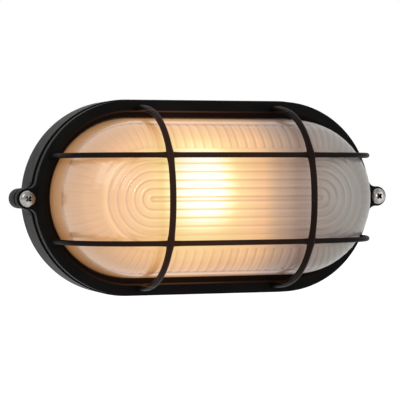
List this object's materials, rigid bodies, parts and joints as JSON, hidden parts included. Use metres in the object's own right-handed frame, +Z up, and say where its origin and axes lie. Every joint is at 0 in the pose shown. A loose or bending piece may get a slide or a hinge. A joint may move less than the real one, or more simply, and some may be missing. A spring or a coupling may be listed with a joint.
{
  "type": "bulkhead light",
  "caption": "Oval bulkhead wall light: black cast base, ribbed frosted glass lens and a cast guard of arched bars held by a screw at each end.",
  "frame": {"origin": "centre of the base's flat back, in the plane of the wall", "axes": "+X along the length, +Z up, +Y into the wall, so the light looks towards -Y"},
  "size_m": [0.2158, 0.0942, 0.1084],
  "materials": {
    "black_coat": "satin powder coat",
    "rubber": "matt",
    "frosted_glass": "frosted inside, pressed ribs",
    "stainless": "bright",
    "zinc": "zinc plated",
    "opal_lamp": "opal",
    "porcelain": "glazed white porcelain",
    "brass": "plain",
    "brown_sleeve": "woven and varnished",
    "blue_sleeve": "woven and varnished"
  },
  "bodies": {
    "root": {"base_housing": "black_coat", "body_gasket": "rubber", "glass_lens": "frosted_glass", "guard_frame": "black_coat", "cover_screw_left": "stainless", "cover_screw_right": "stainless", "bulb": "opal_lamp", "lampholder_body": "porcelain", "lampholder_shell": "brass", "centre_contact": "brass", "holder_bracket": "zinc", "bracket_screw_upper": "zinc", "bracket_screw_lower": "zinc", "holder_screw_upper": "zinc", "holder_screw_lower": "zinc", "terminal_block": "porcelain", "terminal_screw_1": "brass", "terminal_screw_2": "brass", "terminal_screw_3": "brass", "terminal_screw_4": "brass", "lead_live": "brown_sleeve", "lead_neutral": "blue_sleeve", "cable_grommet": "rubber", "earth_screw": "brass", "earth_washer": "brass"}
  },
  "joints": []
}
